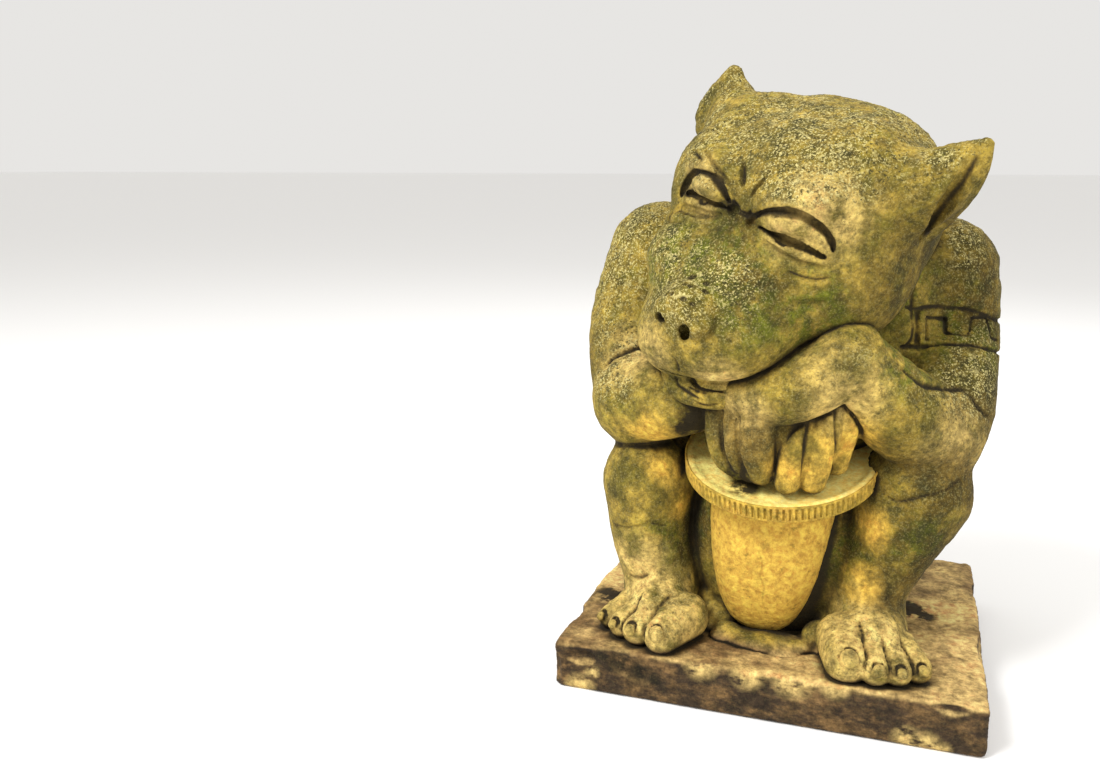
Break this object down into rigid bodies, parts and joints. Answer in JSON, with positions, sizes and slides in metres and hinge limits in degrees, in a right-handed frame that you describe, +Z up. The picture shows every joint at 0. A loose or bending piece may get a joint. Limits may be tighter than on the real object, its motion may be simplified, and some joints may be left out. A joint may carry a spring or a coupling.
{
  "type": "stone gargoyle",
  "caption": "Cast stone garden gargoyle squatting on a rectangular slab, its dog-like muzzle resting on crossed hands over a small drum, weathered and mossy.",
  "frame": {"origin": "centre of the slab's underside", "axes": "+Z up, the figure faces -Y, +X is the figure's own left; the head is turned towards -X"},
  "size_m": [0.4653, 0.407, 0.6758],
  "materials": {
    "stone": "weathered cast stone, matt, mossy green on what faces up, bare yellow where it is sheltered"
  },
  "bodies": {
    "root": {"gargoyle": "stone"}
  },
  "joints": []
}
